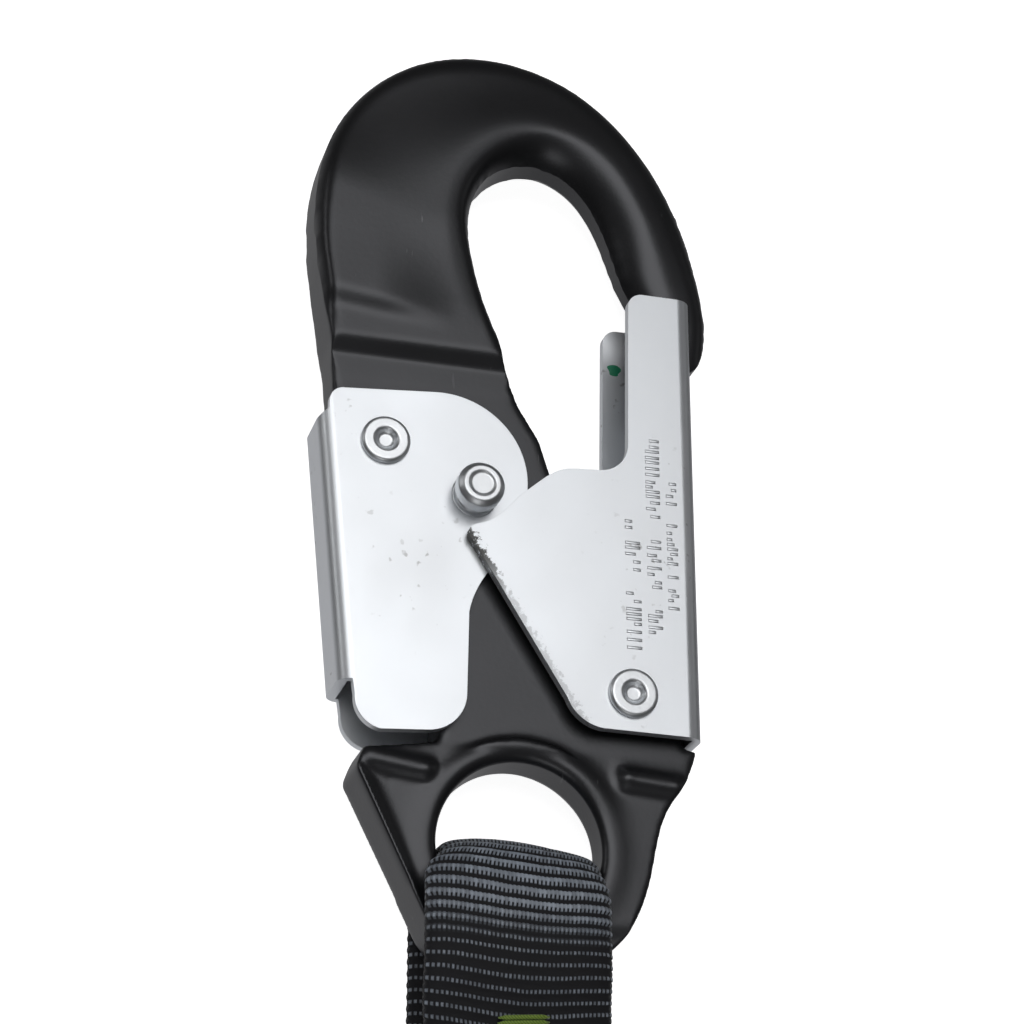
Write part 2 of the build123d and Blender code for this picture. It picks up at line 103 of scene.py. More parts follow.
def add_area_light(name, place, aim, size, power):
    """White rectangular lamp that faces a point."""
    data = bpy.data.lights.new(name, "AREA")
    data.shape = "RECTANGLE"
    data.size, data.size_y = size
    data.energy = power
    lamp = bpy.data.objects.new(name, data)
    bpy.context.collection.objects.link(lamp)
    lamp.location = place
    lamp.rotation_euler = (Vector(aim) - Vector(place)).to_track_quat("-Z", "Y").to_euler()


FLOOR_HALF = 6.0
FLOOR_DROP = 0.0002                  # keeps the floor off the parts that rest on it
# the room's grey by height, from straight below (0) to straight above (1)
ROOM_GREYS = ((0.0, 0.46), (0.16, 0.36), (0.36, 0.05), (0.58, 0.035), (0.75, 0.06), (1.0, 0.14))


def add_floor():
    """Pale table that renders white, and that the metal doesn't mirror."""
    mesh = bpy.data.meshes.new("floor")
    s = FLOOR_HALF
    mesh.from_pydata([(-s, -s, 0), (s, -s, 0), (s, s, 0), (-s, s, 0)], [], [(0, 1, 2, 3)])
    floor = bpy.data.objects.new("floor", mesh)
    bpy.context.collection.objects.link(floor)
    floor.location.z = -FLOOR_DROP
    floor.visible_glossy = False
    material = bpy.data.materials.new("floor")
    material.use_nodes = True
    shader = material.node_tree.nodes["Principled BSDF"]
    shader.inputs["Base Color"].default_value = (0.85, 0.85, 0.85, 1)
    shader.inputs["Roughness"].default_value = 0.9
    shader.inputs["Specular IOR Level"].default_value = 0.1
    shader.inputs["Emission Color"].default_value = (1, 1, 1, 1)
    shader.inputs["Emission Strength"].default_value = 0.92
    mesh.materials.append(material)


def add_room():
    """Dim room, a little brighter from below and from straight above."""
    world = bpy.data.worlds.new("studio")
    bpy.context.scene.world = world
    world.use_nodes = True
    tree = world.node_tree
    height = tree.nodes.new("ShaderNodeSeparateXYZ")
    tree.links.new(tree.nodes.new("ShaderNodeTexCoord").outputs["Generated"], height.inputs[0])
    place = tree.nodes.new("ShaderNodeMapRange")
    place.inputs["From Min"].default_value = -1
    tree.links.new(height.outputs["Z"], place.inputs["Value"])
    ramp = tree.nodes.new("ShaderNodeValToRGB")
    tree.links.new(place.outputs["Result"], ramp.inputs["Fac"])
    while len(ramp.color_ramp.elements) < len(ROOM_GREYS):
        ramp.color_ramp.elements.new(0.5)
    for element, (at, grey) in zip(ramp.color_ramp.elements, ROOM_GREYS):
        element.position = at
        element.color = (grey, grey, grey * 1.02, 1)
    tree.links.new(ramp.outputs["Color"], tree.nodes["Background"].inputs["Color"])


def add_lights():
    """One large softbox over the hook, two edge lights and one for the far end."""
    hook = Vector((0, EYE_Y * MM, 0))
    add_area_light("softbox", hook + Vector((-0.13, 0.33, 1.40)), hook, (1.36, 1.00), 8.4)
    add_area_light("side", hook + Vector((1.4, 0.55, 0.4)), hook, (0.7, 0.5), 0.25)
    add_area_light("window", hook + Vector((-1.45, 0.65, 0.42)), hook, (0.7, 0.45), 1.3)
    add_area_light("far_end", Vector((-0.25, -1.5, 1.1)), (0, -0.5, 0), (0.9, 0.7), 3.0)
    bpy.context.scene.view_settings.view_transform = "Standard"


# ---- materials -----------------------------------------------------------
class Nodes:
    """Short calls to build a material's node tree."""

    def __init__(self, name):
        self.material = bpy.data.materials.new(name)
        self.material.use_nodes = True
        self.tree = self.material.node_tree
        self.shader = self.tree.nodes["Principled BSDF"]
        self.coords = self.tree.nodes.new("ShaderNodeTexCoord").outputs["Object"]

    def set(self, **values):
        for socket, value in values.items():
            self.shader.inputs[socket.replace("_", " ")].default_value = value

    def node(self, kind, links=(), **settings):
        node = self.tree.nodes.new(kind)
        for key, value in settings.items():
            if key.startswith("in_"):
                node.inputs[key[3:].replace("_", " ")].default_value = value
            else:
                setattr(node, key, value)
        for socket, source in dict(links).items():
            self.tree.links.new(source, node.inputs[socket])
        return node

    def noise(self, scale, detail=3.0, roughness=0.5, coords=None):
        node = self.node("ShaderNodeTexNoise", {"Vector": coords or self.coords},
                         in_Scale=scale, in_Detail=detail, in_Roughness=roughness)
        return node.outputs["Fac"]

    def ramp(self, source, *stops):
        node = self.node("ShaderNodeValToRGB", {"Fac": source})
        ramp = node.color_ramp
        while len(ramp.elements) < len(stops):
            ramp.elements.new(0.5)
        for element, (place, colour) in zip(ramp.elements, stops):
            element.position = place
            element.color = (*colour, 1) if hasattr(colour, "__len__") else (colour, colour, colour, 1)
        return node.outputs["Color"]

    def maths(self, operation, a, b=0.0):
        node = self.node("ShaderNodeMath", operation=operation)
        for index, value in enumerate((a, b)):
            if isinstance(value, (int, float)):
                node.inputs[index].default_value = value
            else:
                self.tree.links.new(value, node.inputs[index])
        return node.outputs[0]

    def mix(self, factor, a, b):
        node = self.node("ShaderNodeMix", data_type="RGBA")
        for socket, value in zip((node.inputs[0], node.inputs[6], node.inputs[7]), (factor, a, b)):
            if isinstance(value, tuple):
                socket.default_value = (*value, 1)
            elif isinstance(value, (int, float)):
                socket.default_value = value
            else:
                self.tree.links.new(value, socket)
        return node.outputs[2]

    def wave(self, scale, direction="X"):
        node = self.node("ShaderNodeTexWave", {"Vector": self.coords}, bands_direction=direction,
                         in_Scale=scale, in_Distortion=0.0)
        return node.outputs["Fac"]

    def bump(self, height, distance, strength=1.0):
        node = self.node("ShaderNodeBump", {"Height": height}, in_Distance=distance, in_Strength=strength)
        self.tree.links.new(node.outputs["Normal"], self.shader.inputs["Normal"])

    def link(self, socket, source):
        self.tree.links.new(source, self.shader.inputs[socket])


def black_forging():
    """Black satin coating with fine orange peel and a few light scratches."""
    n = Nodes("black_forging")
    patches = n.noise(60, 4)
    fine = n.noise(1600, 3)
    stretched = n.node("ShaderNodeMapping", {"Vector": n.coords}, in_Scale=(900, 160, 200)).outputs["Vector"]
    scratch = n.ramp(n.noise(1.0, 2, 0.6, stretched), (0.70, 0.0), (0.73, 1.0))
    where = n.ramp(n.noise(45, 2), (0.56, 0.0), (0.62, 1.0))
    marks = n.maths("MULTIPLY", scratch, where)
    base = n.mix(patches, (0.0040, 0.0040, 0.0044), (0.0080, 0.0080, 0.0088))
    n.link("Base Color", n.mix(marks, base, (0.16, 0.16, 0.165)))
    n.link("Roughness", n.maths("ADD", n.maths("MULTIPLY", patches, 0.10), 0.31))
    n.set(Specular_IOR_Level=0.78, Specular_Tint=(0.94, 0.95, 1.0, 1))
    n.bump(n.maths("ADD", n.maths("MULTIPLY", fine, 0.4), patches), 0.00006, 0.5)
    return n.material


def zinc_plate(name, worn_line=None):
    """Bright zinc plate, faintly blue and cloudy, rubbed dark along one edge.

    worn_line is that edge's start and inward normal, in the hook's frame."""
    n = Nodes(name)
    cloud = n.noise(70, 4)
    fine = n.noise(900, 3)
    specks = n.ramp(n.noise(620, 2), (0.66, 0.0), (0.72, 1.0))
    grubby = n.maths("MULTIPLY", specks, n.ramp(n.noise(75, 2), (0.50, 0.0), (0.62, 1.0)))
    base = n.mix(cloud, (0.76, 0.79, 0.825), (0.90, 0.92, 0.945))
    base = n.mix(n.maths("MULTIPLY", grubby, 0.55), base, (0.30, 0.30, 0.29))
    rough = n.maths("ADD", n.maths("MULTIPLY", cloud, 0.20), 0.30)
    if worn_line:
        (x, y), (nx, ny) = worn_line

        def along(dx, dy):
            part = n.node("ShaderNodeVectorMath", {0: n.coords}, operation="DOT_PRODUCT")
            part.inputs[1].default_value = (dx / MM, dy / MM, 0)
            return n.maths("SUBTRACT", part.outputs["Value"], dx * x + dy * y)

        inward, down = along(nx, ny), along(ny, -nx)
        close = n.node("ShaderNodeMapRange", {"Value": inward}, in_From_Min=0.15, in_From_Max=1.5,
                       in_To_Min=1.0, in_To_Max=0.0).outputs[0]
        near_tip = n.node("ShaderNodeMapRange", {"Value": down}, in_From_Min=2.0, in_From_Max=9.0,
                          in_To_Min=1.0, in_To_Max=0.25).outputs[0]
        chips = n.ramp(n.maths("ADD", n.noise(1300, 3, 0.7), n.maths("MULTIPLY", close, 0.32)),
                       (0.66, 0.0), (0.74, 1.0))
        wear = n.maths("MULTIPLY", n.maths("MULTIPLY", chips, near_tip),
                       n.maths("GREATER_THAN", close, 0.02))
        base = n.mix(n.maths("MULTIPLY", wear, 0.85), base, (0.075, 0.07, 0.06))
        rough = n.maths("ADD", rough, n.maths("MULTIPLY", wear, 0.3))
    n.link("Base Color", base)
    n.set(Metallic=0.92)
    n.link("Roughness", rough)
    n.bump(n.maths("ADD", n.maths("MULTIPLY", fine, 0.25), cloud), 0.00005, 0.5)
    return n.material


def turned_metal(name, dark, light, roughness):
    """Pins, bushes and springs: turned metal with faint rings and clouds."""
    n = Nodes(name)
    cloud = n.noise(240, 3)
    n.link("Base Color", n.mix(cloud, dark, light))
    n.set(Metallic=1.0)
    n.link("Roughness", n.maths("ADD", n.maths("MULTIPLY", cloud, 0.18), roughness))
    n.bump(n.noise(1800, 2), 0.00003, 0.5)
    return n.material


def webbing(name, light, dark, groove):
    """Ribbed web: each cross rib is a row of floats between black grooves, the floats coloured in painted
    sheen.

    The mesh carries how many ribs along, how many floats across, and how much painted sheen
    the bend gets, where its rows face the light and the floats' painted highlights join into solid bars."""
    n = Nodes(name)
    place = n.node("ShaderNodeAttribute", attribute_name="weave").outputs["Vector"]
    parts = n.node("ShaderNodeSeparateXYZ", {"Vector": place})
    along, across, sheen_on_bend = (parts.outputs[i] for i in range(3))
    # random patches in the painted sheen's colour
    sheen_patches = n.noise(140, 3)
    sway = n.noise(420, 2)
    along = n.maths("ADD", along, n.maths("MULTIPLY", n.maths("SUBTRACT", sway, 0.5), 0.16))
    rib = n.maths("FRACT", along)
    column = n.maths("FRACT", across)
    cell = n.node("ShaderNodeCombineXYZ", {"X": n.maths("FLOOR", along), "Y": n.maths("FLOOR", across)})
    each = n.node("ShaderNodeTexWhiteNoise", {"Vector": cell.outputs[0]},
                  noise_dimensions="2D").outputs["Value"]

    def pulse(value, centre, half, soft):
        off = n.maths("ABSOLUTE", n.maths("SUBTRACT", value, centre))
        return n.maths("SUBTRACT", 1.0, n.node(
            "ShaderNodeMapRange", {"Value": off}, interpolation_type="SMOOTHSTEP",
            in_From_Min=half - soft, in_From_Max=half + soft).outputs[0])

    ridge = pulse(rib, 0.5, 0.27, 0.22)
    gap = pulse(column, 0.5, 0.28, 0.11)
    reach = pulse(rib, 0.5, 0.15, 0.06)
    long_reach = pulse(rib, 0.52, 0.33, 0.06)
    # painted highlights on the floats: short on the flat, long on the bend
    flat_highlights = n.maths("MULTIPLY", reach, n.maths("SUBTRACT", 1.0, sheen_on_bend))
    float_highlights = n.maths("MULTIPLY", gap, n.maths("ADD", flat_highlights, n.maths("MULTIPLY", long_reach, sheen_on_bend)))
    # painted highlight: floats joined into solid bars on the bend, where the rows face the light
    bar = n.maths("MULTIPLY", pulse(rib, 0.42, 0.17, 0.07), sheen_on_bend)
    painted_sheen = n.maths("MAXIMUM", n.maths("MULTIPLY", bar, 0.9), float_highlights)
    sheen_amount = n.maths("MULTIPLY", painted_sheen, n.maths("ADD", 0.55, n.maths("MULTIPLY", each, 0.45)))
    # painted sheen brighter on the bend
    sheen_amount = n.maths("MULTIPLY", sheen_amount, n.maths("ADD", 0.62, n.maths("MULTIPLY", sheen_on_bend, 0.46)))
    # floats in painted sheen over the black grooves
    n.link("Base Color", n.mix(sheen_amount, groove, n.mix(sheen_patches, dark, light)))
    n.link("Roughness", n.maths("SUBTRACT", 0.78, n.maths("MULTIPLY", painted_sheen, 0.36)))
    n.set(Specular_IOR_Level=0.5, Sheen_Weight=0.12, Sheen_Roughness=0.4)
    height = n.maths("ADD", n.maths("MULTIPLY", ridge, 0.55), n.maths("MULTIPLY", painted_sheen, 0.45))
    n.bump(n.maths("ADD", height, n.maths("MULTIPLY", n.noise(5200, 2), 0.08)), 0.00028, 0.9)
    return n.material


WAVE_SCALE = 0.314                   # a wave texture's scale, times its pitch


def plain_weave(name, dark, light, pitch):
    """Flat woven cloth: two crossed rows of yarns, by bump and colour."""
    n = Nodes(name)
    across = n.wave(WAVE_SCALE / pitch, "X")
    along = n.wave(WAVE_SCALE / pitch, "Y")
    cell = n.maths("MULTIPLY", across, along)
    cloud = n.noise(50, 3)
    n.link("Base Color", n.mix(n.maths("MULTIPLY", cell, cloud), dark, light))
    n.set(Roughness=0.8, Sheen_Weight=0.3)
    n.bump(cell, 0.00018, 0.8)
    return n.material


def soft_plastic(name, dark, light, roughness, alpha=1.0):
    """Plastic, rubber or paper with faint clouds and grain."""
    n = Nodes(name)
    n.link("Base Color", n.mix(n.noise(90, 3), dark, light))
    n.link("Roughness", n.maths("ADD", n.maths("MULTIPLY", n.noise(200, 3), 0.15), roughness))
    n.set(Alpha=alpha)
    n.bump(n.noise(700, 3), 0.00005, 0.4)
    return n.material


def thread_material(name, dark, light):
    """Sewing thread with a slanted twist."""
    n = Nodes(name)
    twist = n.wave(1400, "DIAGONAL")
    n.link("Base Color", n.mix(twist, dark, light))
    n.set(Roughness=0.55, Sheen_Weight=0.3)
    n.bump(twist, 0.00005, 0.6)
    return n.material


def paint_dot():
    """Thin green paint, uneven in colour."""
    n = Nodes("green_paint")
    n.link("Base Color", n.mix(n.noise(900, 3), (0.01, 0.20, 0.10), (0.02, 0.34, 0.17)))
    n.set(Roughness=0.5)
    n.bump(n.noise(900, 2), 0.00004, 0.5)
    return n.material


# ---- mesh helpers --------------------------------------------------------
def new_object(name, mesh, material, smooth=True):
    """Object in the scene, with one material."""
    obj = bpy.data.objects.new(name, mesh)
    bpy.context.collection.objects.link(obj)
    mesh.materials.clear()
    mesh.materials.append(material)
    if smooth:
        mesh.shade_smooth()
    return obj


def apply_modifiers(obj):
    """Replace an object's mesh by its evaluated one, and drop the modifiers."""
    graph = bpy.context.evaluated_depsgraph_get()
    mesh = bpy.data.meshes.new_from_object(obj.evaluated_get(graph), depsgraph=graph)
    obj.modifiers.clear()
    obj.data = mesh


def bevelled_copy(node, name, width, material, body, place=Matrix.Identity(4), sharp=38):
    """Copy of a CAD node, standing for it, with its edges over `sharp` degrees rounded."""
    mesh = frame["nodes"][node].data.copy()
    mesh.transform(place.inverted())
    obj = new_object(name, mesh, material, smooth=False)
    obj.matrix_world = place
    bm = bmesh.new()
    bm.from_mesh(mesh)
    bmesh.ops.remove_doubles(bm, verts=bm.verts, dist=1e-6)
    bmesh.ops.dissolve_limit(bm, angle_limit=math.radians(1.0), verts=bm.verts, edges=bm.edges)
    bm.to_mesh(mesh)
    bm.free()
    bevel = obj.modifiers.new("edge", "BEVEL")
    bevel.width = width
    bevel.segments = 3
    bevel.limit_method = "ANGLE"
    bevel.angle_limit = math.radians(sharp)
    bevel.use_clamp_overlap = True
    apply_modifiers(obj)
    obj.data.shade_smooth()
    normals = obj.modifiers.new("flat", "WEIGHTED_NORMAL")
    normals.keep_sharp = True
    apply_modifiers(obj)
    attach(obj, body)
    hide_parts(node)
    return obj


def joined_mesh(name, parts, material, body, place=Matrix.Identity(4), stands_for=()):
    """One object from (vertices, faces) lists given in millimetres."""
    vertices, faces = [], []
    for points, polygons in parts:
        start = len(vertices)
        vertices.extend((x * MM, y * MM, z * MM) for x, y, z in points)
        faces.extend([tuple(i + start for i in polygon) for polygon in polygons])
    mesh = bpy.data.meshes.new(name)
    mesh.from_pydata(vertices, [], faces)
    obj = new_object(name, mesh, material)
    obj.matrix_world = place
    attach(obj, body)
    if stands_for:
        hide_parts(*stands_for)
    return obj


def tube(points, radius):
    """Tube of six sides through a few points, thinner at both ends."""
    sides, ends = 6, 0.35
    points = [Vector(p) for p in points]
    rings, faces = [], []
    for i, point in enumerate(points):
        ahead = points[min(i + 1, len(points) - 1)] - points[max(i - 1, 0)]
        side = ahead.cross(Vector((0.13, 0.21, 1.0))).normalized()
        top = side.cross(ahead).normalized()
        r = radius * (ends if i in (0, len(points) - 1) else 1)
        for k in range(sides):
            angle = 2 * math.pi * k / sides
            rings.append(point + (side * math.cos(angle) + top * math.sin(angle)) * r)
    for i in range(len(points) - 1):
        for k in range(sides):
            a, b = i * sides + k, i * sides + (k + 1) % sides
            faces.append((a, b, b + sides, a + sides))
    faces.append(tuple(range(sides))[::-1])
    faces.append(tuple(range((len(points) - 1) * sides, len(points) * sides)))
    return [tuple(v) for v in rings], faces


def stitch(start, end, lift, radius=0.3):
    """One stitch between two points, arched upwards."""
    start, end, lift = Vector(start), Vector(end), Vector(lift)
    heights = ((0.0, -0.25), (0.14, 0.7), (0.5, 1.0), (0.86, 0.7), (1.0, -0.25))
    return tube([start.lerp(end, t) + lift * h for t, h in heights], radius)


def stitches_along(path, lift, length=2.4, gap=0.7, radius=0.3):
    """Running stitch over a polyline of 3-D points."""
    path = [Vector(p) for p in path]
    out = []
    for a, b in zip(path, path[1:]):
        span = (b - a).length
        count = max(1, round(span / (length + gap)))
        for i in range(count):
            t0 = (i * span / count + gap / 2) / span
            t1 = ((i + 1) * span / count - gap / 2) / span
            out.append(stitch(a.lerp(b, t0), a.lerp(b, t1), lift, radius))
    return out


# ---- hook body -----------------------------------------------------------
VOXEL = 0.42
BOW_FROM = 65.0                      # the bow's faces are shaped beyond this y
PLATE_HALF = 3.62                    # half thickness of the plate between the sheets
FACE_ABOVE = 3.0                     # from the mid-plane, where a face may be lifted
NOSE_FROM = 13.0                     # the nose is right of this, and thinner
STEP_FOOT, STEP_RUN, STEP_RISE = 68.7, 4.9, 3.0
RIDGE_IN = 4.1                       # from the throat to the bow's ridge
INNER_ROUND = 3.9                    # width of the rounding beside the throat
THROAT_MIDDLE = (4.0, 84.0)
HOLE_BACK, HOLE_FRONT = 2.4, 0.9     # radii of the eye's rims


def smoothstep(x, low, high):
    """0 below low, 1 above high, and smooth between."""
    t = np.clip((x - low) / (high - low), 0, 1)
    return t * t * (3 - 2 * t)


def outline_trees(mesh):
    """Nearest-point trees of the outer outline and of the throat's wall."""
    bm = bmesh.new()
    bm.from_mesh(mesh)
    cut = bmesh.ops.bisect_plane(bm, geom=bm.verts[:] + bm.edges[:] + bm.faces[:],
                                 plane_co=(0, 0, 0.0001), plane_no=(0, 0, 1))
    outer, throat = [], []
    for edge in (e for e in cut["geom_cut"] if isinstance(e, bmesh.types.BMEdge)):
        start, end = (v.co / MM for v in edge.verts)
        steps = max(1, int((end - start).length / 0.2))
        for i in range(steps):
            point = start.lerp(end, i / steps)
            if point.y > 60:
                inner = -8.3 < point.x < 19.4 and point.y < 105
                (throat if inner else outer).append((point.x, point.y, 0))
    bm.free()
    trees = []
    for points in (outer, throat):
        tree = KDTree(len(points))
        for index, point in enumerate(points):
            tree.insert(point, index)
        tree.balance()
        trees.append(tree)
    return trees


def distance_to(tree, x, y, mask):
    """Distance of each masked point from a tree's outline, and far for the others."""
    out = np.full(len(x), 99.0)
    for i in np.nonzero(mask)[0]:
        out[i] = tree.find((x[i], y[i], 0))[2]
    return out


def bump_along(x, y, start, end, width):
    """Rounded ridge, one high, along a segment."""
    dx, dy = end[0] - start[0], end[1] - start[1]
    t = np.clip(((x - start[0]) * dx + (y - start[1]) * dy) / (dx * dx + dy * dy), 0, 1)
    return np.exp(-(np.hypot(x - start[0] - t * dx, y - start[1] - t * dy) / width) ** 2)


def eye_section_height(x, y):
    """Half thickness of the eye section: lugs, left border and eye rim."""
    rim = np.exp(-((np.hypot(x, y) - 12.9) / 1.9) ** 2) * (0.25 + 0.6 * smoothstep(y, 3, 12))
    border = 1.35 * bump_along(x, y, (-23.4, 10.2), (-12.9, -12.6), 1.35)
    bar = 1.4 * bump_along(x, y, (-20.6, 10.3), (-13.0, 9.2), 1.35)
    crease = 0.35 * bump_along(x, y, (-20.6, 10.4), (-13.6, 9.35), 0.42)
    lug = 1.4 * bump_along(x, y, (14.8, 10.3), (21.5, 9.7), 1.35)
    lug_crease = 0.3 * bump_along(x, y, (15.4, 10.4), (21.0, 9.8), 0.42)
    foot = 0.8 * smoothstep(-y, 9, 13)
    ribs = np.maximum.reduce([rim, border, bar - crease, lug - lug_crease, foot])
    return PLATE_HALF + ribs


def hole_rounding(x, y, radius):
    """How far a rounded edge falls below the face, beside the eye's hole."""
    near = np.clip(1 - (np.hypot(x, y) - EYE_R) / radius, 0, 1)
    return radius * (1 - np.sqrt(1 - near ** 2))


def bow_height(x, y, inward):
    """Half thickness of the bow: ridge near the throat, sloping outwards."""
    right = smoothstep(x, -6, 10)
    top = smoothstep(y + 0.3 * x, 86, 112)
    slope = np.maximum(right, top)
    near_gate = smoothstep(x, -22, -9)
    fast = smoothstep(y + 0.12 * (x + 26), 75.0, 78.2)
    crown = ((1 - near_gate) * fast + near_gate * smoothstep(y, 79, 92)) * (1 - 0.3 * right)
    past_ridge = np.maximum(inward - RIDGE_IN, 0)
    outer_drop = (past_ridge - 2.0 * (1 - np.exp(-past_ridge / 2.0))) * (0.32 * slope + 0.012)
    outer_drop = 2.9 * (1 - np.exp(-outer_drop / 2.9))
    inner = np.clip((INNER_ROUND - inward) / INNER_ROUND, 0, 1)
    inner_drop = 1.9 * inner ** 1.35 * smoothstep(y, 74, 84) * (0.3 + 0.7 * smoothstep(x, -8, 4))
    return 5.0 + 0.95 * crown - (outer_drop * smoothstep(y, 76, 88)) - inner_drop


def bow_target(x, y, outward, inward):
    """Half thickness over the bow: crowned faces, then a wide elliptical edge."""
    high = bow_height(x, y, inward)
    reach = 2.6 + 1.4 * smoothstep(y, 84, 96)
    outer_reach = reach * (0.55 + 0.45 * smoothstep(x, -24, -8))
    inner_reach = reach * (0.55 + 0.45 * smoothstep(x, -6, 6))
    edge = np.minimum(outward / outer_reach, inward / inner_reach)
    roll = np.sqrt(1 - (1 - np.clip(edge, 0, 1)) ** 2)
    full = smoothstep(y, 69, 80)
    depth = np.where(inward < outward, 0.62 + 0.10 * smoothstep(x, -7, 3), 0.62)
    rolled = high * (1 - full * depth * (1 - roll))
    rolled = np.where(x > NOSE_FROM, rolled * (0.80 + 0.20 * smoothstep(y, 82, 98)), rolled)
    step = PLATE_HALF + STEP_RISE * np.clip((y - STEP_FOOT) / STEP_RUN, 0, 1)
    return np.where(y > BOW_FROM, np.where(x < 10, np.minimum(rolled, step), rolled), PLATE_HALF)


def throat_swell(x, y, inward):
    """Shift into the throat, where the bow's section is roundest."""
    swell = (0.45 + 0.6 * smoothstep(x, 2, 12)) * smoothstep(y, 79, 88) * smoothstep(x, -7, 3)
    swell = swell * (1 - smoothstep(inward, 0.0, 4.5))
    to_throat = np.column_stack([THROAT_MIDDLE[0] - x, THROAT_MIDDLE[1] - y])
    return to_throat / (np.linalg.norm(to_throat, axis=1, keepdims=True) + 1) * swell[:, None]


def relaxed(obj, iterations):
    """Apply the object's modifiers, and then a number of smoothing passes."""
    relax = obj.modifiers.new("relax", "SMOOTH")
    relax.factor = 0.5
    relax.iterations = iterations
    apply_modifiers(obj)
    return obj.data


def forged_body(side, material):
    """Hook body with the soft radii, crown and creases of a forging."""
    place = HOOK_FRAMES[side]
    mesh = frame["nodes"][f"hook_body_{side}"].data.copy()
    mesh.transform(place.inverted())
    outer, throat = outline_trees(mesh)
    obj = new_object(f"forging_{side}", mesh, material)
    remesh = obj.modifiers.new("voxels", "REMESH")
    remesh.mode = "VOXEL"
    remesh.voxel_size = VOXEL * MM
    mesh = relaxed(obj, 4)
    co = np.empty(len(mesh.vertices) * 3)
    mesh.vertices.foreach_get("co", co)
    co = co.reshape(-1, 3) / MM
    normals = np.empty(len(mesh.vertices) * 3)
    mesh.vertex_normals.foreach_get("vector", normals)
    facing = np.abs(normals.reshape(-1, 3)[:, 2])
    x, y, z = co.T
    outward = distance_to(outer, x, y, y > BOW_FROM)
    inward = distance_to(throat, x, y, y > BOW_FROM)
    shift = throat_swell(x, y, inward)
    # bow: faces move to their target, walls are only cut back to it
    target = bow_target(x, y, outward, inward)
    face = smoothstep(facing, 0.45, 0.8)
    in_face = np.abs(z) > FACE_ABOVE
    shaped = np.where(in_face, np.sign(z) * (target * face + np.minimum(np.abs(z), target) * (1 - face)),
                      np.clip(z, -target, target))
    bow = smoothstep(y, BOW_FROM - 0.5, BOW_FROM + 0.5)
    z_new = z * (1 - bow) + shaped * bow
    # eye section: bosses as smooth swellings of the plate
    low = eye_section_height(x, y) - hole_rounding(x, y, np.where(z < 0, HOLE_BACK, HOLE_FRONT))
    eye = 1 - smoothstep(y, 12.3, 13.4)
    shaped = np.where(in_face & (facing > 0.45), np.sign(z) * low, np.clip(z, -low, low))
    z_new = z_new * (1 - eye) + shaped * eye
    co[:, :2] += shift
    co[:, 2] = z_new
    mesh.vertices.foreach_set("co", (co * MM).ravel())
    mesh = relaxed(obj, 8)
    mesh.transform(place)
    mesh.update()
    mesh.shade_smooth()
    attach(obj, "lanyard")
    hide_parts(f"hook_body_{side}")
    return obj


# ---- webbing -------------------------------------------------------------
FLOATS_ACROSS = 43                   # floats side by side on one rib
SAMPLES_PER_RIB = 5
LOOP_TURN = -8.7                     # middle of the loop's turn, from the eye's middle
LOOP_LEAN = 1.35                     # how far the loop's upper layer lies to the left
STRAP_HALF = 2.75                    # half thickness of the free strap


def polyline_frames(points):
    """Arc length, and tangents of a (u, v) line."""
    steps = np.diff(points, axis=0)
    length = np.concatenate([[0], np.cumsum(np.hypot(*steps.T))])
    tangent = np.gradient(points, axis=0)
    tangent /= np.hypot(*tangent.T)[:, None]
    return length, tangent


def resample(points, step):
    """Points about `step` apart along a (u, v) line, and their arc lengths."""
    length, _ = polyline_frames(points)
    count = max(2, int(round(length[-1] / step)) + 1)
    s = np.linspace(0, length[-1], count)
    return np.column_stack([np.interp(s, length, points[:, i]) for i in range(2)]), s


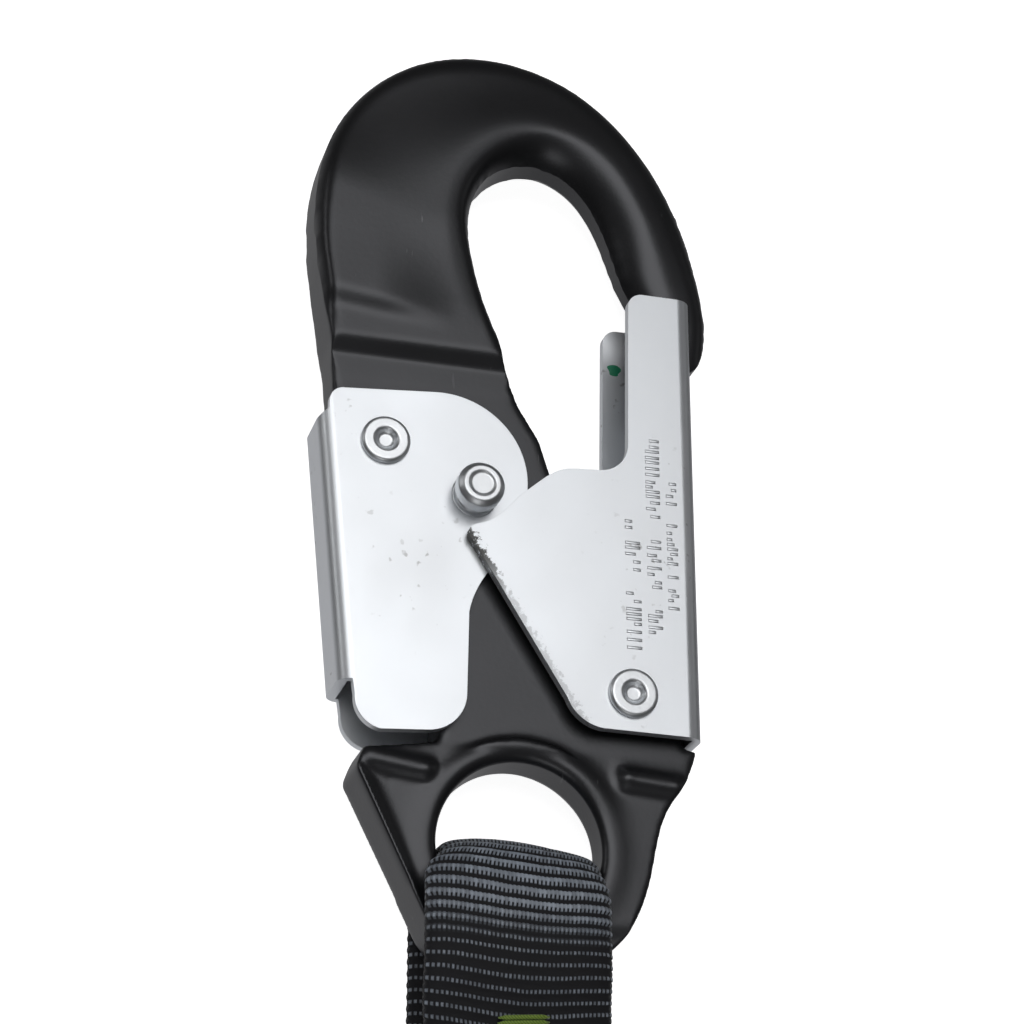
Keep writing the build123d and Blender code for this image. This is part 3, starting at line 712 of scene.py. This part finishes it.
def web_mesh(name, points, half_width, half_thick, rib=1.5, around=120, rib_height=0.26,
             bend_sheen=None, sway=None):
    """Tubular web along a (u, v) line, in millimetres: x across, u along, v up.

    Cross ribs are real swellings. The floats on them, with their painted sheen, come from the material,
    which reads each point's place in the weave and the painted sheen of the bend."""
    line, s = resample(points, rib / SAMPLES_PER_RIB)
    _, tangent = polyline_frames(line)
    normal = np.column_stack([-tangent[:, 1], tangent[:, 0]])
    theta = np.linspace(0, 2 * np.pi, around, endpoint=False)
    across = np.where(theta < np.pi, 1 - 2 * theta / np.pi, 2 * theta / np.pi - 3)
    face = np.where(theta < np.pi, 1.0, -1.0)
    across = np.sin(across * np.pi / 2 * 0.999)
    bulge = (1 - np.abs(across) ** 3.2) ** 0.42 * face
    x = half_width(line)[:, None] * across[None, :]
    t = np.full(len(s), half_thick)[:, None] * bulge[None, :]
    arch = 0.8 * np.cos(np.pi * across)[None, :] * face[None, :] * 0.5
    ribs = (s[:, None] + arch) / rib
    ridge = 0.5 - 0.5 * np.cos(2 * np.pi * ribs)
    lift = rib_height * smoothstep(ridge, 0.1, 0.8)
    nx = across[None, :] ** 9 * np.ones_like(x)
    nt = bulge[None, :] * np.ones_like(x)
    size = np.sqrt(nx ** 2 + nt ** 2) + 1e-9
    x = x + lift * nx / size
    t = t + lift * nt / size
    u = line[:, 0][:, None] + t * normal[:, 0][:, None]
    v = line[:, 1][:, None] + t * normal[:, 1][:, None]
    if sway is not None:
        x, u, v = sway(x, u, v)
    co = np.stack([x, u, v], axis=2).reshape(-1, 3) * MM
    count = len(s)
    a = np.arange(count - 1)[:, None] * around
    b = np.arange(around)[None, :]
    c = (b + 1) % around
    quads = np.stack([a + b, a + c, a + around + c, a + around + b], axis=2).reshape(-1, 4)
    ends = [list(range(around)), list(range((count - 1) * around, count * around))[::-1]]
    mesh = bpy.data.meshes.new(name)
    mesh.from_pydata(co.tolist(), [], quads.tolist() + ends)
    # painted sheen: how far the bend turns the rows to the light, strongest in the middle across
    bend_sheen_here = np.zeros(count) if bend_sheen is None else bend_sheen(line)
    weave = np.stack([ribs, (across[None, :] * 0.5 + 0.5) * FLOATS_ACROSS * np.ones_like(x),
                      bend_sheen_here[:, None] * (0.55 + 0.45 * (1 - np.abs(across[None, :]) ** 3))], axis=2)
    layer = mesh.attributes.new("weave", "FLOAT_VECTOR", "POINT")
    layer.data.foreach_set("vector", weave.reshape(-1).astype(np.float32))
    mesh.update()
    return mesh


def loop_line(rise):
    """Middle line of a sewn loop: sewn end, under the eye, round, and back."""
    foot = -LOOP_LEG + rise
    low = [(SEW_END, foot), (-46.0, foot), (-30.0, -LOOP_LEG + rise * 0.35), (-22.0, -LOOP_LEG),
           (LOOP_TURN, -LOOP_LEG)]
    angles = np.linspace(-math.pi / 2, math.pi / 2, 40)[1:-1]
    turn = [(LOOP_TURN + LOOP_LEG * math.cos(a), LOOP_LEG * math.sin(a)) for a in angles]
    top = [(LOOP_TURN, LOOP_LEG), (-18.0, LOOP_LEG), (-24.0, LOOP_LEG - 1.6),
           (-38.0, foot + LAYER_STEP + 1.2), (-45.0, foot + LAYER_STEP), (SEW_END, foot + LAYER_STEP)]
    points = np.array(low + turn + top)
    dense, _ = resample(points, 0.25)
    kernel = np.ones(17) / 17
    padded = np.pad(dense, ((8, 8), (0, 0)), mode="edge")
    return np.column_stack([np.convolve(padded[:, i], kernel, mode="valid") for i in range(2)])


def loop_drift(v):
    """Sideways lean of the loop's upper layer, at a height over the eye's middle."""
    return -LOOP_LEAN * smoothstep(v, 3.2, 7.0)


def sewn_loop(side, material):
    """Web turned through the eye, squeezed where it passes the hole."""
    line = loop_line(RISE[side])

    def half_width(points):
        squeeze = smoothstep(7.3 - np.abs(points[:, 1]), 0, 3.2) * smoothstep(points[:, 0], -14, -9)
        return WEB_WIDTH / 2 - 0.5 - 1.75 * squeeze

    # painted sheen on the loop's turn, where the rows face the light
    def bend_sheen(points):
        return smoothstep(points[:, 0], -15, -9) * (1 - 0.6 * smoothstep(points[:, 0], -3, 0)) * (
            points[:, 1] > -4)

    def sway(x, u, v):
        near = smoothstep(u, -26, -6)
        return x + loop_drift(v.mean(axis=1, keepdims=True)), u - near * 0.5 * np.tanh((x - 3.0) / 4.0), v

    mesh = web_mesh(f"sewn_loop_{side}", line, half_width, LOOP_THICK / 2 - 0.3, bend_sheen=bend_sheen, sway=sway)
    mesh.transform(HOOK_FRAMES[side])
    obj = new_object(f"sewn_loop_{side}", mesh, material)
    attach(obj, "lanyard")
    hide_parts(f"eye_loop_{side}")
    return obj


# the strap's route in metres, (along, up): from the loop of hook a, folded twice, and to the pack
STRAP_ROUTE = [(0.221, 0.0036), (0.207, 0.0036), (0.193, 0.0050), (0.170, 0.0053), (0.125, 0.0053),
               (0.075, 0.0053), (0.030, 0.0053), (-0.012, 0.0053), (-0.0215, 0.0060), (-0.0215, 0.0146),
               (-0.012, 0.0153), (0.035, 0.0153), (0.085, 0.0153), (0.135, 0.0153), (0.180, 0.0153),
               (0.1895, 0.0160), (0.1895, 0.0246), (0.180, 0.0253), (0.135, 0.0253), (0.085, 0.0253),
               (0.035, 0.0253), (-0.010, 0.0253), (-0.036, 0.0250), (-0.055, 0.0090), (-0.074, 0.0075),
               (-0.089, 0.0075)]


def strap_spline():
    """The strap's middle line, read from one smooth NURBS curve."""
    curve = bpy.data.curves.new("strap_route", "CURVE")
    curve.dimensions = "3D"
    curve.resolution_u = 24
    spline = curve.splines.new("NURBS")
    spline.points.add(len(STRAP_ROUTE) - 1)
    for point, (y, z) in zip(spline.points, STRAP_ROUTE):
        point.co = (0, y, z, 1)
    spline.order_u = 3
    spline.use_endpoint_u = True
    obj = bpy.data.objects.new("strap_route", curve)
    bpy.context.collection.objects.link(obj)
    graph = bpy.context.evaluated_depsgraph_get()
    mesh = bpy.data.meshes.new_from_object(obj.evaluated_get(graph), depsgraph=graph)
    points = np.array([v.co[:] for v in mesh.vertices])
    bpy.data.objects.remove(obj)
    return points


def free_strap(material):
    """Folded strap between the loop of hook a and the pack, held by its tie."""
    path = strap_spline()
    line = path[:, 1:] / MM

    def half_width(points):
        return np.full(len(points), WEB_WIDTH / 2 - 0.2)

    mesh = web_mesh("free_strap", line, half_width, STRAP_HALF, rib=2.2, around=72, rib_height=0.45)
    obj = new_object("free_strap", mesh, material)
    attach(obj, "lanyard")
    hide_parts("strap_lead", "strap_hank", "strap_tail")
    return obj


# where the contrast stitches and the seams end, towards each hook's sewn end
MARKER_ENDS = {"a": SEW_END + 2, "b": -57.0}
SEAM_ENDS = {"a": SEW_END + 2, "b": -60.0}
MARKER_START, MARKER_STEP, MARKER_HALF = -23.6, 0.62, 3.4
SEAM_START, ZIGZAG_STEP = -47.0, 4.6


def marker_threads(side, material):
    """Close contrast stitches over the middle of the upper layer."""
    line = loop_line(RISE[side])
    turn = int(np.argmax(line[:, 0]))
    top = line[turn:][::-1]
    parts = []
    for u in np.arange(MARKER_ENDS[side], MARKER_START, MARKER_STEP):
        middle = np.interp(u, top[:, 0], top[:, 1])
        v = middle + LOOP_THICK / 2 + 0.1
        shift = 0.12 * math.sin(u * 7.1) + float(loop_drift(np.array(middle)))
        parts.append(stitch((-MARKER_HALF + shift, u - 0.25, v), (MARKER_HALF + shift, u + 0.25, v),
                            (0, 0, 0.22), 0.33))
    return joined_mesh(f"marker_threads_{side}", parts, material, "lanyard", HOOK_FRAMES[side],
                       [f"marker_stitching_{side}"])


def sewing(side, material):
    """Box and zigzag seams that close the loop."""
    foot = -LOOP_LEG + RISE[side] + LAYER_STEP + LOOP_THICK / 2 + 0.12
    end = SEAM_ENDS[side]
    lift = (0, 0, 0.2)
    parts = []
    for x in (-10.2, 10.2):
        parts += stitches_along([(x, SEAM_START, foot), (x, end, foot)], lift)
    for low, high in ((-9.2, -3.6), (5.2, 9.2)):
        steps = int((SEAM_START - end) / ZIGZAG_STEP)
        zigzag = [((low, high)[i % 2], SEAM_START - i * ZIGZAG_STEP, foot) for i in range(steps + 1)]
        parts += stitches_along(zigzag, lift, 2.2, 0.6)
    return joined_mesh(f"seam_{side}", parts, material, "lanyard", HOOK_FRAMES[side])


# rows of strokes on the gate: x, first y, last y, length
DASH_ROWS = ((15.2, 28.0, 47.0, 2.2), (18.3, 30.5, 59.5, 2.1), (21.0, 33.0, 56.0, 1.6))
DASH_HALF, DASH_HEIGHT = 0.22, 0.05


def raised_dashes(side, material):
    """Short raised strokes on the gate, in place of lettering."""
    rng = random.Random(3)
    parts = []
    for x, low, high, length in DASH_ROWS:
        y = low
        while y < high:
            if rng.random() < 0.16:
                y += 1.3
                continue
            span = length * rng.choice((1.0, 1.0, 0.7, 0.5))
            off = (length - span) / 2 * rng.choice((-1, 1))
            x0, x1, hw, z = x + off - span / 2, x + off + span / 2, DASH_HALF, GATE_OUT
            base = [(x0, y - hw, z), (x1, y - hw, z), (x1, y + hw, z), (x0, y + hw, z)]
            top = [(px + (0.14 if px == x0 else -0.14), py + (0.15 if py < y else -0.15), z + DASH_HEIGHT)
                   for px, py, _ in base]
            parts.append((base + top, [(3, 2, 1, 0), (4, 5, 6, 7)] + [
                (i, (i + 1) % 4, (i + 1) % 4 + 4, i + 4) for i in range(4)]))
            y += rng.choice((0.72, 0.72, 0.95, 1.15))
    return joined_mesh(f"gate_dashes_{side}", parts, material, f"gate_{side}", HOOK_FRAMES[side])


DOT_AT = (16.9, 75.9)


def green_dot(side, material):
    """Dab of inspection paint on the inner face of the gate's far ear."""
    inner = -GATE_IN
    dx, dy = DOT_AT
    rim = [(dx + (0.95 + 0.16 * math.sin(3 * a) + 0.1 * math.sin(5 * a + 1)) * math.cos(a),
            dy + (1.05 + 0.14 * math.cos(2 * a)) * math.sin(a))
           for a in np.linspace(0, 2 * math.pi, 28)[:-1]]
    count = len(rim)
    points = [(x, y, inner) for x, y in rim]
    points += [(dx + (x - dx) * 0.75, dy + (y - dy) * 0.75, inner + 0.07) for x, y in rim]
    points.append((dx, dy, inner + 0.09))
    faces = [(i, (i + 1) % count, (i + 1) % count + count, i + count) for i in range(count)]
    faces += [(i + count, (i + 1) % count + count, 2 * count) for i in range(count)]
    return joined_mesh(f"green_dot_{side}", [(points, faces)], material, f"gate_{side}", HOOK_FRAMES[side])


def twisting_spring(side, part, material):
    """Copy of a CAD coil spring, standing for it, in spring wire."""
    node = f"{part}_spring_{side}"
    obj = new_object(f"{part}_coil_{side}", frame["nodes"][node].data.copy(), material)
    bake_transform(obj)
    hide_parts(node)


# ---- absorber pack -------------------------------------------------------
PACK_Y = (-85.0, -235.0)
PACK_NECK = 12.0
# half width, half height, middle height and squareness at a neck, and what the pack adds
NECK_SECTION = (16.3, 5.8, NECK_MID, 3.6)
PACK_ADDS = (6.5, 8.5, 7.0, 3.4)
CLOTH_FRAMES = 20
CLOTH_REACH = 0.0011                 # the cloth moves a point no further than this
ABOVE_TABLE = 0.0003
WRAP_MARGIN = 0.0010                 # between the cover and what it wraps
LABEL_X, LABEL_HALF, LABEL_TOP = 16.3, 38, 31.1


def pack_section(y):
    """Half width, half height, middle height and squareness of the cover."""
    depth = min(PACK_Y[0] - y, y - PACK_Y[1])
    t = float(smoothstep(np.array(depth), -2.0, 7.0))
    return tuple(neck + adds * t for neck, adds in zip(NECK_SECTION, PACK_ADDS))


def hold_out(points, node, margin):
    """Push points out of a node's box, grown by a margin, across its length."""
    corners = np.array([v.co[:] for v in node.data.vertices])
    middle = (corners.max(axis=0) + corners.min(axis=0)) / 2
    half = (corners.max(axis=0) - corners.min(axis=0)) / 2 + margin
    away = points - middle
    gap = half - np.abs(away)
    inside = (gap > 0).all(axis=1)
    sideways = inside & (gap[:, 0] < gap[:, 2])
    upwards = inside & ~sideways
    points[sideways, 0] = middle[0] + np.sign(away[sideways, 0]) * half[0]
    points[upwards, 2] = middle[2] + np.sign(away[upwards, 2]) * half[2]


def pack_cover(material):
    """Soft cover drawn in at both necks, puckered there, with side seams."""
    length, around = 88, 72
    ys = np.linspace(PACK_Y[0] + PACK_NECK, PACK_Y[1] - PACK_NECK, length)
    vertices, faces = [], []
    for y in ys:
        wide, high, middle, square = pack_section(y)
        depth = min(PACK_Y[0] - y, y - PACK_Y[1])
        pucker = 0.55 * math.exp(-abs(depth - 5) / 6.0)
        for k in range(around):
            angle = 2 * math.pi * (k + 0.5) / around
            c, s_ = math.cos(angle), math.sin(angle)
            r = 1 + (pucker * math.cos(15 * angle + 0.6 * math.sin(y)) - 0.3) / wide
            x = wide * r * math.copysign(abs(c) ** (2 / square), c)
            z = middle + high * r * math.copysign(abs(s_) ** (2 / square), s_)
            vertices.append((x * MM, y * MM, z * MM))
    for i in range(length - 1):
        for k in range(around):
            a, b = i * around + k, i * around + (k + 1) % around
            faces.append((a, a + around, b + around, b))
    faces.append(tuple(range(around)))
    faces.append(tuple(range((length - 1) * around, length * around))[::-1])
    mesh = bpy.data.meshes.new("soft_cover")
    mesh.from_pydata(vertices, [], faces)
    obj = new_object("soft_cover", mesh, material)
    start = np.array([v.co[:] for v in mesh.vertices])
    pins = obj.vertex_groups.new(name="pins")
    pins.add([i for i, p in enumerate(start) if p[1] / MM > PACK_Y[0] + 1 or p[1] / MM < PACK_Y[1] - 1],
             1.0, "REPLACE")
    cloth = obj.modifiers.new("cloth", "CLOTH")
    cloth.settings.quality = 5
    cloth.settings.mass = 0.3
    cloth.settings.vertex_group_mass = "pins"
    cloth.settings.use_pressure = True
    cloth.settings.uniform_pressure_force = 3.0
    cloth.settings.shrink_min = -0.035
    cloth.settings.effector_weights.gravity = 0
    cloth.point_cache.frame_start = 1
    cloth.point_cache.frame_end = CLOTH_FRAMES
    for number in range(1, CLOTH_FRAMES + 1):
        bpy.context.scene.frame_set(number)
    graph = bpy.context.evaluated_depsgraph_get()
    moved = np.array([v.co[:] for v in obj.evaluated_get(graph).data.vertices])
    obj.modifiers.clear()
    bpy.context.scene.frame_set(1)
    shift = moved - start
    size = np.linalg.norm(shift, axis=1, keepdims=True) + 1e-12
    shift *= np.minimum(1, CLOTH_REACH / size)
    shift[:, 2] = np.minimum(shift[:, 2], 0.0)
    start = start + shift
    start[:, 2] = np.maximum(start[:, 2], ABOVE_TABLE)
    hold_out(start, frame["nodes"]["inner_wrap"], WRAP_MARGIN)
    mesh.vertices.foreach_set("co", start.ravel())
    mesh.update()
    smooth = obj.modifiers.new("fine", "SUBSURF")
    smooth.levels = smooth.render_levels = 1
    apply_modifiers(obj)
    # welt along both sides
    mesh = obj.data
    for vertex in mesh.vertices:
        x, y, z = (c / MM for c in vertex.co)
        _, _, middle, _ = pack_section(y)
        welt = math.exp(-((z - middle) / 0.9) ** 2)
        vertex.co.x += math.copysign(0.75 * welt, x) * MM
    mesh.update()
    mesh.shade_smooth()
    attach(obj, "lanyard")
    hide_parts("pack_cover")
    return obj


def pack_seams(material):
    """Stitching beside the welts and round the label pocket."""
    parts = []
    ys = np.linspace(PACK_Y[0] - 8, PACK_Y[1] + 8, 30)
    for sign in (-1, 1):
        for off in (-2.0, 2.0):
            path = []
            for y in ys:
                wide, high, middle, square = pack_section(y)
                x = wide * (1 - abs(off / high) ** square) ** (1 / square)
                path.append((sign * (x + 0.1), y, middle + off))
            parts += stitches_along(path, (0.2 * sign, 0, 0), 2.6, 0.8, 0.28)
    mid = (PACK_Y[0] + PACK_Y[1]) / 2
    near, far, z = mid + LABEL_HALF, mid - LABEL_HALF, LABEL_TOP
    for ends in ([(-LABEL_X, near, z), (-LABEL_X, far, z)], [(LABEL_X, near, z), (LABEL_X, far, z)],
                 [(-LABEL_X, far, z), (LABEL_X, far, z)]):
        parts += stitches_along(ends, (0, 0, 0.15), 2.4, 0.8, 0.22)
    return joined_mesh("pack_seams", parts, material, "lanyard")


# ---- main ----------------------------------------------------------------
SHEET_EDGE, STUD_EDGE, PIN_EDGE = 0.42 * MM, 0.2 * MM, 0.3 * MM
# the gate's slanted edge, where its plating is worn
WORN_FROM, WORN_TO = (-7.5, 41.2), (5.6, 20.0)

add_camera()
add_floor()
add_room()
add_lights()
MATERIALS = {
    "black_forging": black_forging(),
    "zinc_plate": zinc_plate("zinc_plate"),
    "zinc_pin": turned_metal("zinc_pin", (0.68, 0.70, 0.72), (0.86, 0.88, 0.90), 0.30),
    "brass_bush": turned_metal("brass_bush", (0.62, 0.42, 0.14), (0.80, 0.58, 0.24), 0.25),
    "spring_wire": turned_metal("spring_wire", (0.35, 0.35, 0.36), (0.52, 0.52, 0.53), 0.3),
    # webbing: the floats' light and dark blue-greys are painted sheen over the near-black groove colour
    "webbing": webbing("webbing", (0.46, 0.51, 0.58), (0.26, 0.30, 0.37), (0.003, 0.003, 0.005)),
    "thread": thread_material("thread", (0.09, 0.16, 0.012), (0.24, 0.36, 0.035)),
    "tie_band": plain_weave("tie_band", (0.006, 0.006, 0.008), (0.05, 0.05, 0.055), 0.0006),
    "cover_fabric": plain_weave("cover_fabric", (0.008, 0.008, 0.010), (0.055, 0.057, 0.065), 0.0009),
    "rubber_band": soft_plastic("rubber_band", (0.010, 0.010, 0.010), (0.022, 0.022, 0.022), 0.55),
    "tear_web": plain_weave("tear_web", (0.35, 0.33, 0.28), (0.72, 0.70, 0.62), 0.0012),
    "wrap_film": soft_plastic("wrap_film", (0.75, 0.76, 0.78), (0.82, 0.83, 0.85), 0.15),
    "clear_sleeve": soft_plastic("clear_sleeve", (0.85, 0.87, 0.88), (0.90, 0.91, 0.92), 0.08, 0.25),
    "label_paper": soft_plastic("label_paper", (0.72, 0.72, 0.69), (0.80, 0.80, 0.76), 0.6),
}
for entry in frame["record"]["subparts"]:
    node = frame["nodes"][entry["node"]]
    node.data.materials.clear()
    node.data.materials.append(MATERIALS[entry["material_slot"]])

diagonal = Vector((WORN_TO[0] - WORN_FROM[0], WORN_TO[1] - WORN_FROM[1])).normalized()
worn_zinc = zinc_plate("worn_zinc", (WORN_FROM, (-diagonal.y, diagonal.x)))
dark_thread = thread_material("dark_thread", (0.012, 0.012, 0.014), (0.05, 0.05, 0.055))
paint = paint_dot()
for side, place in HOOK_FRAMES.items():
    gate, lever = f"gate_{side}", f"lever_{side}"
    forged_body(side, MATERIALS["black_forging"])
    bevelled_copy(gate, f"gate_sheet_{side}", SHEET_EDGE, worn_zinc, gate, place)
    bevelled_copy(f"lock_lever_{side}", f"lever_sheet_{side}", SHEET_EDGE, MATERIALS["zinc_plate"],
                  lever, place)
    bevelled_copy(f"lock_stud_{side}", f"stud_{side}", STUD_EDGE, MATERIALS["zinc_pin"], lever, place, 30)
    for pin in ("gate_rivet", "lever_rivet"):
        bevelled_copy(f"{pin}_{side}", f"{pin}_round_{side}", PIN_EDGE, MATERIALS["zinc_pin"], "lanyard",
                      place, 30)
    for part in PIVOTS:
        twisting_spring(side, part, MATERIALS["spring_wire"])
    raised_dashes(side, MATERIALS["zinc_plate"])
    green_dot(side, paint)
    sewn_loop(side, MATERIALS["webbing"])
    marker_threads(side, MATERIALS["thread"])
    sewing(side, dark_thread)
tie_band = bevelled_copy("hank_tie", "soft_hank_tie", 0.5 * MM, MATERIALS["tie_band"], "lanyard", sharp=50)
free_strap(MATERIALS["webbing"])
pack_cover(MATERIALS["cover_fabric"])
pack_seams(dark_thread)
for node, width in (("end_band_a", 0.4), ("end_band_b", 0.4), ("label_sleeve", 0.25), ("label_booklet", 0.2)):
    bevelled_copy(node, f"soft_{node}", width * MM,
                  frame["nodes"][node].data.materials[0], "lanyard", sharp=50)

import json
